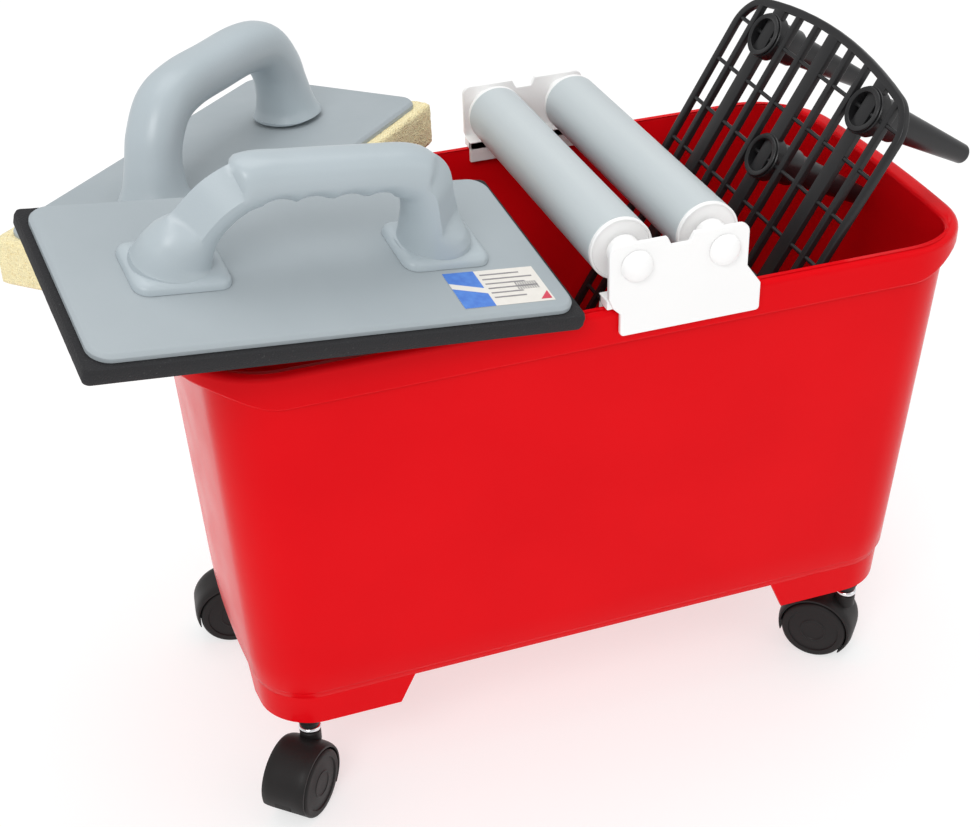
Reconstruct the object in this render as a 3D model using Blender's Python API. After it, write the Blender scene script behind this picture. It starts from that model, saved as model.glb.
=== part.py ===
"""Tiler's wash set: a wheeled bucket with a two-roller wringer, a drain grate and two floats.

One object is built for each separate piece. Sizes below are in millimetres and become metres
where a mesh is made. X runs along the bucket, Y across it and Z up from the floor.
"""
import bpy
import bmesh
from math import atan2, cos, pi, radians, sin, sqrt
from mathutils import Euler, Matrix, Vector

MM = 0.001
GAP = 0.3                     # clearance between pieces that touch

# Bucket
WALL = 3.0
BODY_BOTTOM_Z = 95.4
BODY_TOP_Z = 345.0
BODY_BOTTOM_HALF = (241.0, 115.0)
BODY_TOP_HALF = (252.0, 132.7)
CORNER_RADIUS = 40.0
END_BOW = 8.0                 # how far the end walls bulge
RIM_TOP_Z = 370.6
RIM_HALF = (265.0, 137.2)
RIM_CORNER_RADIUS = 54.0
SKIRT_RISE = 13.0             # how much shorter the skirt is at the two ends
RISE_FROM_X = (215.0, 262.0)  # where the skirt starts to climb, and where it is at its shortest
LEDGE_Z = 102.0
LEDGE_STEP = 2.0
FOOT_BOTTOM_Z = 70.9
FOOT_INNER_X = (149.0, 138.0)     # at the foot's bottom and at its top
FOOT_INNER_Y = (62.0, 54.0)

# Casters
CASTER_X = 213.0
CASTER_Y = 97.0
WHEEL_RADIUS = 25.0
WHEEL_WIDTH = 11.0
WEB_HALF = 6.0                # half the thickness of the hood's middle web
TRAIL = 19.0
AXLE_RADIUS = 3.0
STEM_RADIUS = 4.0
HOOD_TOP_Z = 56.0
CASTERS = {
    "front_left": (-1, -1, 228.0),
    "front_right": (1, -1, 138.0),
    "back_left": (-1, 1, 173.0),
    "back_right": (1, 1, 118.0),
}

# Wringer
ROLLER_X = (9.8, 69.0)
ROLLER_Z = 400.8
ROLLER_RADIUS = 21.0
ROLLER_BORE = 18.5
TUBE_HALF = 114.5
CAP_FACE = 118.0
PLATE_Y = (137.8, 141.3)
HOOK_Y = (125.0, 128.6)
BRIDGE_Z = (371.0, 377.6)
PIN_RADIUS = 7.0
DOME_RADIUS = 10.5

# Drain grate, leaning in the bucket's right half
GRATE_CENTRE = (199.3, -5.6, 448.9)    # the middle of its first cross rod
GRATE_TURN = (-3.7, -60.2, 7.5)        # yaw, pitch and roll in degrees
GRATE_WIDTH = 218.0
GRATE_THICK = 5.0
ROD_PITCH = 33.6
ROD_COUNT = 11
GRATE_END = 32.0              # from the last rod to the end of the frame
GRATE_BOW = 16.0
SLAT_PITCH = 21.9
LEG_LENGTH = 100.0
LEG_MOUTH = 13.5
RING_HIGH = 0.8               # the leg's ring stands this much above the slats
LEG_TIP = 7.0
LEG_SIDES = 16
LEG_SPOTS = {                 # rod number counted from the top, and column counted from the middle
    "top_left": (0, 3),
    "top_right": (0, -3),
    "upper_middle": (2, 0),
    "lower_middle": (8, 0),
    "bottom_left": (10, 3),
    "bottom_right": (10, -3),
}

# Floats: the place is the middle of the plate's top face
FRONT_PLACE = (-183.7, -102.8, 425.6)
FRONT_TURN = (8.63, 9.86, 12.79)
FRONT_PLATE = (300.0, 140.0)
FRONT_PAD_THICK = 10.0
REAR_PLACE = (-195.3, 90.8, 410.6)
REAR_TURN = (44.65, 0.28, -1.95)
REAR_PLATE = (290.0, 145.0)
SPONGE_THICK = 31.5
PLATE_THICK = 5.0
SCREW_RADIUS = 2.5
SCREW_HEAD = 4.5
SCREW_BITE = 14.0


# ---------------------------------------------------------------- materials

def material(name, colour, roughness, metallic=0.0):
    made = bpy.data.materials.new(name)
    made.use_nodes = True
    shader = made.node_tree.nodes["Principled BSDF"]
    shader.inputs["Base Color"].default_value = (*colour, 1.0)
    shader.inputs["Roughness"].default_value = roughness
    shader.inputs["Metallic"].default_value = metallic
    return made


# ---------------------------------------------------------------- mesh helpers

def new_object(name, mesh_builder, finish=None):
    """An object from a filled bmesh, with its normals pointing out."""
    bmesh.ops.remove_doubles(mesh_builder, verts=mesh_builder.verts, dist=0.00001)
    bmesh.ops.recalc_face_normals(mesh_builder, faces=mesh_builder.faces)
    mesh = bpy.data.meshes.new(name)
    mesh_builder.to_mesh(mesh)
    mesh_builder.free()
    made = bpy.data.objects.new(name, mesh)
    bpy.context.collection.objects.link(made)
    if finish:
        made.data.materials.append(finish)
    return made


def boolean(target, tool, operation):
    """Joins, cuts or intersects target with tool, then removes the tool."""
    modifier = target.modifiers.new(operation.title(), "BOOLEAN")
    modifier.operation = operation
    modifier.solver = "EXACT"
    modifier.object = tool
    graph = bpy.context.evaluated_depsgraph_get()
    result = bpy.data.meshes.new_from_object(target.evaluated_get(graph))
    target.modifiers.clear()
    target.data = result
    bpy.data.objects.remove(tool)
    return target


def skin(builder, loops):
    """Side faces between neighbouring loops, and a cap on each end."""
    rings = [[builder.verts.new(Vector(point) * MM) for point in loop] for loop in loops]
    count = len(rings[0])
    for lower, upper in zip(rings, rings[1:]):
        for i in range(count):
            j = (i + 1) % count
            builder.faces.new((lower[i], lower[j], upper[j], upper[i]))
    builder.faces.new(list(reversed(rings[0])))
    builder.faces.new(rings[-1])


def loft(name, loops, finish=None):
    builder = bmesh.new()
    skin(builder, loops)
    return new_object(name, builder, finish)


def rounded_outline(half_x, half_y, radius, bow=0.0, steps=7, end_steps=4):
    """Corner points of a rounded rectangle whose two X ends may bulge by bow."""
    points = []
    straight = half_y - radius
    corners = ((1, -1, -90), (1, 1, 0), (-1, 1, 90), (-1, -1, 180))
    for index, (sign_x, sign_y, start) in enumerate(corners):
        for step in range(steps + 1):
            angle = radians(start + 90.0 * step / steps)
            x = sign_x * (half_x - radius) + radius * cos(angle)
            y = sign_y * straight + radius * sin(angle)
            points.append((x, y))
        if bow and index in (0, 2):
            for step in range(1, end_steps):
                share = step / end_steps
                points.append((sign_x * half_x, sign_y * straight * (1 - 2 * share)))
    if not bow:
        return points
    return [(x + bow * (x / half_x) * max(0.0, 1 - (y / half_y) ** 2), y) for x, y in points]


def at_height(outline, z):
    return [(x, y, z) for x, y in outline]


def slab(name, half_x, half_y, radius, low, high, edge=0.0, finish=None, steps=5):
    """A flat rounded rectangle with an optional bevelled upper edge."""
    loops = [at_height(rounded_outline(half_x, half_y, radius, steps=steps), low)]
    if edge:
        loops.append(at_height(rounded_outline(half_x, half_y, radius, steps=steps), high - edge))
    top = rounded_outline(half_x - edge, half_y - edge, radius - edge, steps=steps)
    loops.append(at_height(top, high))
    return loft(name, loops, finish)


def box(name, low, high):
    points = [(low[0], low[1]), (high[0], low[1]), (high[0], high[1]), (low[0], high[1])]
    return loft(name, [at_height(points, low[2]), at_height(points, high[2])])


def prism_along_y(name, outline, low, high, finish=None):
    """An outline of (x, z) points, extruded from y = low to y = high."""
    loops = [[(x, y, z) for x, z in outline] for y in (low, high)]
    return loft(name, loops, finish)


def lathe(name, profile, finish=None, segments=24, turn=None, place=(0, 0, 0)):
    """A closed profile of (radius, height) points, spun about Z, then turned and placed.

    A profile that leaves the axis alone makes a ring.
    """
    builder = bmesh.new()
    solid = min(radius for radius, height in profile) < 0.001
    rows = []
    for radius, height in profile:
        if radius < 0.001:
            rows.append([builder.verts.new(Vector((0, 0, height)) * MM)])
            continue
        angles = [2 * pi * i / segments for i in range(segments)]
        ring = [Vector((radius * cos(a), radius * sin(a), height)) * MM for a in angles]
        rows.append([builder.verts.new(point) for point in ring])
    pairs = list(zip(rows, rows[1:]))
    if not solid:
        pairs.append((rows[-1], rows[0]))
    for first, second in pairs:
        if len(first) == 1 and len(second) == 1:
            continue
        for i in range(segments):
            j = (i + 1) % segments
            if len(first) == 1:
                builder.faces.new((first[0], second[j], second[i]))
            elif len(second) == 1:
                builder.faces.new((first[i], first[j], second[0]))
            else:
                builder.faces.new((first[i], first[j], second[j], second[i]))
    change = Matrix.Translation(Vector(place) * MM) @ (turn or Matrix.Identity(4))
    bmesh.ops.transform(builder, matrix=change, verts=builder.verts)
    return new_object(name, builder, finish)


TO_Y = Matrix.Rotation(radians(-90), 4, "X")     # turns +Z into +Y
TO_MINUS_Y = Matrix.Rotation(radians(90), 4, "X")


def rod(name, radius, low, high, segments=24, turn=None, place=(0, 0, 0)):
    profile = [(0, low), (radius, low), (radius, high), (0, high)]
    return lathe(name, profile, None, segments, turn, place)


def frame_empty(name, place, turn=(0, 0, 0)):
    """An empty that holds the pieces of one tilted or turned group: yaw, pitch, roll."""
    empty = bpy.data.objects.new(name, None)
    bpy.context.collection.objects.link(empty)
    empty.location = Vector(place) * MM
    yaw, pitch, roll = turn
    empty.rotation_euler = Euler((radians(roll), radians(pitch), radians(yaw)), "XYZ")
    return empty


def hang(piece, parent):
    piece.parent = parent
    return piece


# ---------------------------------------------------------------- bucket

def body_half(z):
    """Half length and half width of the body's outside at a height."""
    share = (z - BODY_BOTTOM_Z) / (BODY_TOP_Z - BODY_BOTTOM_Z)
    return [low + (high - low) * share for low, high in zip(BODY_BOTTOM_HALF, BODY_TOP_HALF)]


def body_loop(z, inset=0.0):
    half_x, half_y = body_half(z)
    radius = CORNER_RADIUS - 4.0 * (RIM_TOP_Z - z) / RIM_TOP_Z - inset
    outline = rounded_outline(half_x - inset, half_y - inset, radius, END_BOW)
    return at_height(outline, z)


def rim_loop(z, inset=0.0, rise=0.0):
    """A loop of the rim. With a rise it climbs round the corners and stays high along both ends."""
    outline = rounded_outline(RIM_HALF[0] - inset, RIM_HALF[1] - inset, RIM_CORNER_RADIUS - inset,
                              END_BOW)
    start, stop = RISE_FROM_X
    shares = [min(1.0, max(0.0, (abs(x) - start) / (stop - start))) for x, y in outline]
    return [(x, y, z + rise * share) for (x, y), share in zip(outline, shares)]


def bucket_shell():
    """Inside floor, up the inside, over the rim, down the skirt and the outside, to the underside."""
    floor_top = BODY_BOTTOM_Z + WALL
    skirt_low = BODY_TOP_Z
    loops = [
        body_loop(floor_top, WALL + 8.0),
        body_loop(floor_top + 2.0, WALL + 2.5),
        body_loop(floor_top + 8.0, WALL),
        body_loop(RIM_TOP_Z - 2.5, WALL),
        body_loop(RIM_TOP_Z, WALL - 2.0),
        rim_loop(RIM_TOP_Z, 5.5),
        rim_loop(RIM_TOP_Z - 1.8, 2.0),
        rim_loop(RIM_TOP_Z - 6.0, 0.0),
        rim_loop(skirt_low, 0.0, SKIRT_RISE),
        rim_loop(skirt_low, 2.5, SKIRT_RISE),
        rim_loop(RIM_TOP_Z - 7.0, 2.9),
        body_loop(RIM_TOP_Z - 7.0, -0.5),
        body_loop(skirt_low, 0.0),
        body_loop(LEDGE_Z, 0.0),
        body_loop(LEDGE_Z - 1.5, LEDGE_STEP),
        body_loop(BODY_BOTTOM_Z, LEDGE_STEP),
    ]
    return loft("bucket", loops)


def foot_skirt():
    """The wall that stands below the floor at the four corners."""
    outer_low = body_loop(FOOT_BOTTOM_Z, LEDGE_STEP)
    outer_high = body_loop(BODY_BOTTOM_Z + 1.0, LEDGE_STEP + 0.02)
    skirt = loft("foot_skirt", [outer_low, outer_high])
    inner = loft("inner", [body_loop(FOOT_BOTTOM_Z - 1.0, LEDGE_STEP + WALL),
                           body_loop(BODY_BOTTOM_Z + 2.0, LEDGE_STEP + WALL)])
    boolean(skirt, inner, "DIFFERENCE")
    reach = 400.0
    low = FOOT_BOTTOM_Z - 1.0
    high = BODY_BOTTOM_Z - 0.6
    for half, across in ((FOOT_INNER_X, "y"), (FOOT_INNER_Y, "x")):
        outline = [(-half[0], low), (half[0], low), (half[1], high), (-half[1], high)]
        notch = prism_along_y("notch", outline, -reach, reach)
        if across == "x":
            notch.data.transform(Matrix.Rotation(radians(90), 4, "Z"))
        boolean(skirt, notch, "DIFFERENCE")
    return skirt


def caster_boss(x, y):
    return rod("boss", 10.5, FOOT_BOTTOM_Z + 1.0, BODY_BOTTOM_Z + 1.0, 20, place=(x, y, 0))


def make_bucket(finish):
    bucket = bucket_shell()
    boolean(bucket, foot_skirt(), "UNION")
    for sign_x, sign_y, heading in CASTERS.values():
        place = (sign_x * CASTER_X, sign_y * CASTER_Y)
        boolean(bucket, caster_boss(*place), "UNION")
        bore = rod("bore", 6.3, FOOT_BOTTOM_Z - 1.0, BODY_BOTTOM_Z - 1.0, 20, place=(*place, 0))
        boolean(bucket, bore, "DIFFERENCE")
    bucket.data.materials.clear()
    bucket.data.materials.append(finish)
    return bucket


# ---------------------------------------------------------------- casters

def make_caster(corner, sign_x, sign_y, heading, finishes):
    """One twin-wheel caster. Its own frame has the stem on Z and the wheels trailing along +X."""
    place = (sign_x * CASTER_X, sign_y * CASTER_Y, 0)
    fixed = frame_empty(f"caster_{corner}_mount", place)
    swivel = frame_empty(f"caster_{corner}_swivel", place, (heading, 0, 0))
    top = FOOT_BOTTOM_Z + 0.7
    collar_low = HOOD_TOP_Z + 5.0
    bore = STEM_RADIUS + GAP
    socket = lathe(f"caster_{corner}_socket", [
        (bore, collar_low), (7.2, collar_low), (8.6, collar_low + 1.5), (8.6, top),
        (6.0, top), (6.0, BODY_BOTTOM_Z - 2.5), (bore, BODY_BOTTOM_Z - 2.5)],
        finishes["black"], 16)
    hang(socket, fixed)
    ring_low = HOOD_TOP_Z + GAP
    ring_high = collar_low - GAP
    stem = lathe(f"caster_{corner}_stem", [
        (0, 36.0), (STEM_RADIUS, 36.0), (STEM_RADIUS, ring_low), (7.4, ring_low),
        (7.8, ring_low + 1.0), (7.8, ring_high - 1.0), (7.0, ring_high),
        (STEM_RADIUS, ring_high), (STEM_RADIUS, BODY_BOTTOM_Z - 4.0),
        (STEM_RADIUS - 1.2, BODY_BOTTOM_Z - 2.8), (0, BODY_BOTTOM_Z - 2.8)],
        finishes["steel"], 14)
    hang(stem, swivel)
    hang(make_hood(corner, finishes["black"]), swivel)
    axle_half = WEB_HALF + GAP + WHEEL_WIDTH - 2.0
    axle = rod(f"caster_{corner}_axle", AXLE_RADIUS, -axle_half, axle_half, 16, TO_Y,
               (TRAIL, 0, WHEEL_RADIUS))
    axle.data.materials.append(finishes["steel"])
    hang(axle, swivel)
    for side, sign in (("a", -1), ("b", 1)):
        hang(make_wheel(f"caster_{corner}_wheel_{side}", sign, finishes["black"]), swivel)


def make_hood(corner, finish):
    """A middle web that holds stem and axle, under a curved cover over both wheels."""
    cover_in = WHEEL_RADIUS + 1.2
    cover_out = HOOD_TOP_Z - WHEEL_RADIUS - 1.5
    start, stop, steps = -194.0, 40.0, 16
    angles = [radians(start + (stop - start) * i / steps) for i in range(steps + 1)]
    turned = [(-cos(a), -sin(a)) for a in angles]
    outer = [(TRAIL + cover_out * x, WHEEL_RADIUS + cover_out * z) for x, z in turned]
    inner = [(TRAIL + cover_in * x, WHEEL_RADIUS + cover_in * z) for x, z in reversed(turned)]
    half = WEB_HALF + GAP + WHEEL_WIDTH - 1.0
    hood = prism_along_y(f"caster_{corner}_hood", outer + inner, -half, half)
    web = prism_along_y("web", outer, -WEB_HALF, WEB_HALF)
    boolean(hood, web, "UNION")
    post = rod("post", 7.6, 49.0, HOOD_TOP_Z, 14)
    boolean(hood, post, "UNION")
    stem_hole = rod("hole", STEM_RADIUS + GAP, 35.0, HOOD_TOP_Z + 1.0, 14)
    boolean(hood, stem_hole, "DIFFERENCE")
    axle_hole = rod("hole", AXLE_RADIUS + GAP, -30.0, 30.0, 16, TO_Y, (TRAIL, 0, WHEEL_RADIUS))
    boolean(hood, axle_hole, "DIFFERENCE")
    hood.data.materials.clear()
    hood.data.materials.append(finish)
    return hood


def make_wheel(name, sign, finish):
    """A wheel with a stepped hub face, open to the axle on its inner side only."""
    inner = WEB_HALF + GAP
    outer = inner + WHEEL_WIDTH
    bore = AXLE_RADIUS + GAP
    profile = [
        (bore, inner), (WHEEL_RADIUS - 2.0, inner), (WHEEL_RADIUS, inner + 2.0),
        (WHEEL_RADIUS, outer - 2.5), (WHEEL_RADIUS - 2.5, outer), (WHEEL_RADIUS - 5.0, outer),
        (WHEEL_RADIUS - 6.0, outer - 1.2), (9.5, outer - 0.8), (8.8, outer),
        (0, outer), (0, outer - 1.5), (bore, outer - 1.5)]
    turn = TO_Y if sign > 0 else TO_MINUS_Y
    wheel = lathe(name, profile + profile[:1], finish, 20, turn)
    wheel.location = Vector((TRAIL, 0, WHEEL_RADIUS)) * MM
    return wheel


# ---------------------------------------------------------------- wringer

def arc(centre, radius, start, stop, steps):
    angles = [radians(start + (stop - start) * i / steps) for i in range(steps + 1)]
    return [(centre[0] + radius * cos(a), centre[1] + radius * sin(a)) for a in angles]


def bracket_outline():
    """The outer plate: a flange over the rim below, and a head with a saddle above."""
    left, right = -8.0, 86.0
    top = 416.0
    middle = sum(ROLLER_X) / 2
    return [
        (0.0, 352.5), (94.0, 352.5), (96.0, 354.5), (96.0, 372.0), (right, 386.0),
        *arc((right - 6, top - 6), 6.0, 0, 90, 4),
        (middle + 9, top), (middle + 6, top - 6), (middle - 6, top - 6), (middle - 9, top),
        *arc((left + 6, top - 6), 6.0, 90, 180, 4),
        (left, 380.0), (left + 3, 373.0), (-3.0, 368.0), (-3.0, 355.0)]


def make_bracket(name, side, finish):
    """Outer plate, bridge over the rim, hook inside the rim, and two bearing bosses."""
    bracket = prism_along_y(name, bracket_outline(), *PLATE_Y)
    head_left, head_right = -8.0, 86.0
    bridge = box("bridge", (head_left, HOOK_Y[0], BRIDGE_Z[0] + GAP),
                 (head_right, PLATE_Y[0] + 1.0, BRIDGE_Z[1]))
    boolean(bracket, bridge, "UNION")
    hook = box("hook", (head_left, HOOK_Y[0] + 0.01, 361.5),
               (head_right - 0.01, HOOK_Y[1], BRIDGE_Z[1] - 1.0))
    boolean(bracket, hook, "UNION")
    for x in ROLLER_X:
        boss = rod("boss", 11.0, CAP_FACE + 1.2, PLATE_Y[0] + 1.0, 20, TO_Y, (x, 0, ROLLER_Z))
        boolean(bracket, boss, "UNION")
        hole = rod("hole", PIN_RADIUS + GAP, CAP_FACE - 5, PLATE_Y[1] + 5, 20, TO_Y,
                   (x, 0, ROLLER_Z))
        boolean(bracket, hole, "DIFFERENCE")
    if side < 0:
        bracket.data.transform(Matrix.Scale(-1, 4, (0, 1, 0)))
        bracket.data.flip_normals()
    bracket.data.materials.clear()
    bracket.data.materials.append(finish)
    return bracket


def make_roller(label, x, finishes):
    """A tube on two plugged caps, which turn with their domed pins in the brackets."""
    axis = frame_empty(f"roller_{label}_axis", (x, 0, ROLLER_Z))
    tube = lathe(f"roller_{label}_tube", [
        (ROLLER_BORE, -TUBE_HALF), (ROLLER_RADIUS, -TUBE_HALF),
        (ROLLER_RADIUS, TUBE_HALF), (ROLLER_BORE, TUBE_HALF)], finishes["grey"], 28, TO_Y)
    hang(tube, axis)
    bore = PIN_RADIUS + GAP
    flange = TUBE_HALF + GAP
    plug = ROLLER_BORE - GAP
    for end, turn in (("front", TO_MINUS_Y), ("back", TO_Y)):
        cap = lathe(f"roller_{label}_cap_{end}", [
            (bore, 100.0), (plug - 1.0, 100.0), (plug, 101.0), (plug, flange),
            (ROLLER_RADIUS, flange), (ROLLER_RADIUS, CAP_FACE), (ROLLER_RADIUS - 1.6, CAP_FACE),
            (ROLLER_RADIUS - 2.4, CAP_FACE - 1.2), (bore, CAP_FACE - 1.2)],
            finishes["white"], 28, turn)
        hang(cap, axis)
        dome_low = PLATE_Y[1] + GAP
        dome = arc((0, dome_low), 1.0, 0, 90, 5)
        profile = [(0, 102.0), (PIN_RADIUS, 102.0), (PIN_RADIUS, dome_low)]
        profile += [(DOME_RADIUS * r, dome_low + 6.5 * (h - dome_low)) for r, h in dome[:-1]]
        profile.append((0, dome_low + 6.5))
        pin = lathe(f"roller_{label}_pin_{end}", profile, finishes["white"], 16, turn)
        hang(pin, axis)


# ---------------------------------------------------------------- drain grate

def grate_outline(inset=0.0):
    """The frame's outline about the panel's middle, with bowed ends."""
    half_length = (ROD_COUNT - 1) * ROD_PITCH / 2 + GRATE_END - GRATE_BOW
    return rounded_outline(half_length - inset, GRATE_WIDTH / 2 - inset, 22.0 - inset, GRATE_BOW)


def clipped(corners, outline):
    """The part of a convex polygon that lies inside a convex outline, both anticlockwise."""
    kept = corners
    for start, end in zip(outline, outline[1:] + outline[:1]):
        def side(point):
            return ((end[0] - start[0]) * (point[1] - start[1])
                    - (end[1] - start[1]) * (point[0] - start[0]))
        result = []
        for here, there in zip(kept, kept[1:] + kept[:1]):
            near, far = side(here), side(there)
            if near >= 0:
                result.append(here)
            if (near > 0 > far) or (near < 0 < far):
                share = near / (near - far)
                result.append((here[0] + share * (there[0] - here[0]),
                               here[1] + share * (there[1] - here[1])))
        kept = result
    return kept


def area(corners):
    pairs = zip(corners, corners[1:] + corners[:1])
    return sum(a[0] * b[1] - b[0] * a[1] for a, b in pairs) / 2


def slat_width(column):
    return 12.0 if column in (-3, 0, 3) else 5.0


def make_grate(finishes):
    """A slatted panel with six hollow tapered legs dropped in from above.

    The frame empty's X runs up the slats, its Y across them, and its Z out of the panel.
    """
    lean = frame_empty("grate_lean", GRATE_CENTRE, GRATE_TURN)
    middle = -(ROD_COUNT - 1) * ROD_PITCH / 2
    panel = loft("grate_panel", [
        [(x + middle, y, z) for x, y in grate_outline()] for z in (-GRATE_THICK, 0.0)])
    windows = bmesh.new()
    rows = [(-(i + 1) * ROD_PITCH + 1.5, -i * ROD_PITCH - 1.5) for i in range(ROD_COUNT - 1)]
    rows.append((1.5, GRATE_END + 10))
    rows.append((middle * 2 - GRATE_END - 10, middle * 2 - 1.5))
    frame_inside = [(x + middle, y) for x, y in grate_outline(6.0)]
    for column in range(-5, 5):
        low = column * SLAT_PITCH + slat_width(column) / 2
        high = (column + 1) * SLAT_PITCH - slat_width(column + 1) / 2
        for first, last in rows:
            corners = [(first, low), (last, low), (last, high), (first, high)]
            corners = clipped(corners, frame_inside)
            if area(corners) > 20.0:
                skin(windows, [at_height(corners, z) for z in (-GRATE_THICK - 2, 2.0)])
    boolean(panel, new_object("windows", windows), "DIFFERENCE")
    rings = bmesh.new()
    holes = bmesh.new()
    for label, (row, column) in LEG_SPOTS.items():
        spot = (-row * ROD_PITCH, column * SLAT_PITCH)
        for builder, radius, low, high in (
                (rings, LEG_MOUTH + 3.0, -GRATE_THICK - 3.0, RING_HIGH),
                (holes, LEG_MOUTH + GAP, -GRATE_THICK - 5.0, 5.0)):
            circle = arc(spot, radius, 0, 360, LEG_SIDES)[:-1]
            skin(builder, [at_height(circle, low), at_height(circle, high)])
        make_leg(f"grate_leg_{label}", (*spot, 0), lean, finishes["black"])
    boolean(panel, new_object("rings", rings), "UNION")
    boolean(panel, new_object("holes", holes), "DIFFERENCE")
    panel.data.materials.clear()
    panel.data.materials.append(finishes["black"])
    hang(panel, lean)


def make_leg(name, spot, parent, finish):
    """A hollow cone with a lip that rests on the panel, closed at its tip."""
    lip = LEG_MOUTH + 2.0
    rest = RING_HIGH + GAP
    leg = lathe(name, [
        (0, -LEG_LENGTH), (LEG_TIP - 1.5, -LEG_LENGTH), (LEG_TIP, 2.0 - LEG_LENGTH),
        (LEG_MOUTH - 0.5, -GRATE_THICK - 5.0), (LEG_MOUTH, -GRATE_THICK), (LEG_MOUTH, rest),
        (lip, rest), (lip, rest + 1.6), (LEG_MOUTH - 1.6, rest + 1.6),
        (LEG_MOUTH - 2.4, -GRATE_THICK - 5.0), (LEG_TIP - 2.0, 4.0 - LEG_LENGTH),
        (0, 4.0 - LEG_LENGTH)], finish, LEG_SIDES)
    leg.location = Vector(spot) * MM
    hang(leg, parent)


# ---------------------------------------------------------------- floats

def handle_path(half_base, half_bend, height, bend, steps=6):
    """Points (x, z) from one foot, over the bar, to the other foot."""
    lean = atan2(height, half_base - half_bend)
    left = []
    corner = (-half_bend, height)
    down = (-cos(lean), -sin(lean))
    for step in range(steps + 1):
        share = step / steps
        before = (corner[0] + down[0] * bend, corner[1] + down[1] * bend)
        after = (corner[0] + bend, corner[1])
        a, b, c = (1 - share) ** 2, 2 * share * (1 - share), share ** 2
        left.append((a * before[0] + b * corner[0] + c * after[0],
                     a * before[1] + b * corner[1] + c * after[1]))
    points = [(-half_base, GAP)] + left
    return points + [(-x, z) for x, z in reversed(points)]


def sweep_handle(name, path, half_widths, sides=14):
    """An elliptical section swept along a path in the XZ plane. half_widths: across, in plane."""
    across, depth = half_widths
    loops = []
    last = len(path) - 1
    for index, (x, z) in enumerate(path):
        before = path[max(0, index - 1)]
        after = path[min(last, index + 1)]
        length = sqrt((after[0] - before[0]) ** 2 + (after[1] - before[1]) ** 2)
        side = (-(after[1] - before[1]) / length, (after[0] - before[0]) / length)
        if index in (0, last):
            side = (-1.0, 0.0) if index == 0 else (1.0, 0.0)
        loop = []
        for step in range(sides):
            angle = 2 * pi * step / sides
            reach = depth * cos(angle)
            loop.append((x + side[0] * reach, across * sin(angle), z + side[1] * reach))
        loops.append(loop)
    return loft(name, loops)


def make_float(label, place, turn, plate_size, handle, pad, finishes):
    """A plate with a screwed-on handle above and a soft pad below, in the plate's own frame."""
    lying = frame_empty(f"{label}_float_pose", place, turn)
    half_x, half_y = plate_size[0] / 2, plate_size[1] / 2
    plate = slab(f"{label}_float_plate", half_x, half_y, 12.0, -PLATE_THICK, 0.0, 2.0)
    path = handle_path(*handle["path"])
    grip = sweep_handle(f"{label}_float_handle", path, handle["half_widths"])
    foot_x = handle["path"][0]
    for sign in (-1, 1):
        foot = slab("foot", *handle["foot"], 10.0, GAP, 6.0, 3.0)
        foot.location.x = sign * foot_x * MM
        boolean(grip, foot, "UNION")
        spot = (sign * foot_x, 0, 0)
        hole = rod("hole", SCREW_RADIUS + GAP, -20.0, SCREW_BITE + GAP, 12, place=spot)
        boolean(grip, hole, "DIFFERENCE")
        through = rod("hole", SCREW_RADIUS + GAP, -20.0, 20.0, 12, place=spot)
        boolean(plate, through, "DIFFERENCE")
        sink = rod("hole", SCREW_HEAD + GAP, -20.0, 1.8 - PLATE_THICK, 12, place=spot)
        boolean(plate, sink, "DIFFERENCE")
        screw = lathe(f"{label}_float_screw_{'left' if sign < 0 else 'right'}", [
            (0, -PLATE_THICK), (SCREW_HEAD, -PLATE_THICK), (SCREW_HEAD, 1.5 - PLATE_THICK),
            (SCREW_RADIUS, 1.5 - PLATE_THICK), (SCREW_RADIUS, SCREW_BITE - 2),
            (0, SCREW_BITE)], finishes["steel"], 12)
        screw.location = Vector(spot) * MM
        hang(screw, lying)
    for piece in (plate, grip):
        piece.data.materials.clear()
        piece.data.materials.append(finishes["grey"])
        hang(piece, lying)
    top = -PLATE_THICK - GAP
    soft = slab(f"{label}_float_{pad['name']}", half_x + pad["proud"], half_y + pad["proud"],
                4.0, top - pad["thick"], top, 0.0, pad["finish"], 3)
    hang(soft, lying)


# ---------------------------------------------------------------- assembly

def centre_set():
    """Moves everything so that the origin lies under the middle of the set's box."""
    bpy.context.view_layer.update()
    corners = [piece.matrix_world @ vertex.co
               for piece in bpy.data.objects if piece.type == "MESH"
               for vertex in piece.data.vertices]
    middles = [(min(c[axis] for c in corners) + max(c[axis] for c in corners)) / 2
               for axis in (0, 1)]
    for piece in bpy.data.objects:
        if piece.parent is None:
            piece.location.x -= middles[0]
            piece.location.y -= middles[1]


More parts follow.
